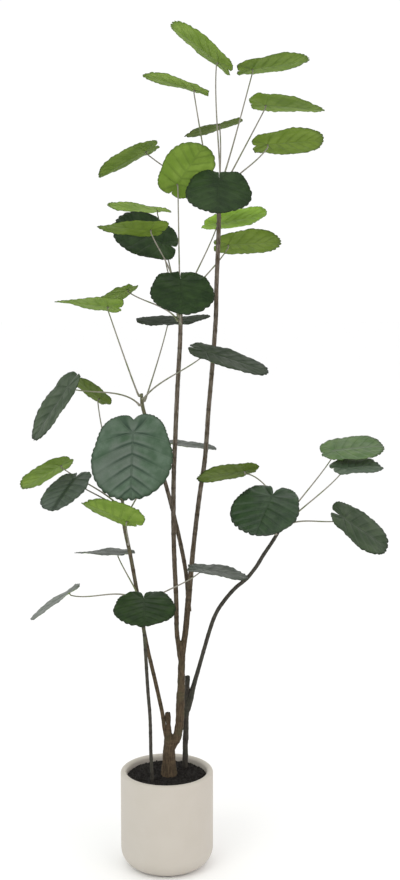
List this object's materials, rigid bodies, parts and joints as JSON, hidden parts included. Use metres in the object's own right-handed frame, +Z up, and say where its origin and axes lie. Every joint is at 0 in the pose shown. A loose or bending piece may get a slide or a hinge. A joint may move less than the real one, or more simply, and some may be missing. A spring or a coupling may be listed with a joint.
{
  "type": "potted polyscias",
  "caption": "Tall slender potted polyscias with bare woody stems, round toothed leaves on long thin stalks, dark soil and a pale round ceramic pot.",
  "frame": {"origin": "centre of the flat underside of the pot", "axes": "+Z up along the pot's axis, -Y towards the viewer of the picture, +X to the viewer's right"},
  "size_m": [0.6606, 0.363, 1.5134],
  "materials": {
    "ceramic_pot": "matte",
    "potting_soil": "matte",
    "bark": "matte",
    "leaf": "satin"
  },
  "bodies": {
    "root": {"pot": "ceramic_pot", "soil": "potting_soil", "trunk_main": "bark", "trunk_back": "bark", "stem_front": "bark", "leaf_top_1": "leaf", "leaf_top_2": "leaf", "leaf_top_3": "leaf", "leaf_top_4": "leaf", "leaf_top_5": "leaf", "leaf_top_6": "leaf", "leaf_top_7": "leaf", "leaf_top_8": "leaf", "leaf_upper_1": "leaf", "leaf_upper_2": "leaf", "leaf_upper_3": "leaf", "leaf_upper_4": "leaf", "leaf_upper_5": "leaf", "leaf_upper_6": "leaf", "leaf_upper_7": "leaf", "leaf_upper_8": "leaf", "leaf_middle_1": "leaf", "leaf_middle_2": "leaf", "leaf_middle_3": "leaf", "leaf_middle_4": "leaf", "leaf_left_1": "leaf", "leaf_left_2": "leaf", "leaf_left_3": "leaf", "leaf_left_4": "leaf", "leaf_left_5": "leaf", "leaf_left_6": "leaf", "leaf_low_1": "leaf", "leaf_low_2": "leaf", "leaf_low_3": "leaf", "leaf_low_4": "leaf", "leaf_right_1": "leaf", "leaf_right_2": "leaf", "leaf_right_3": "leaf", "leaf_right_4": "leaf", "leaf_right_5": "leaf"}
  },
  "joints": []
}
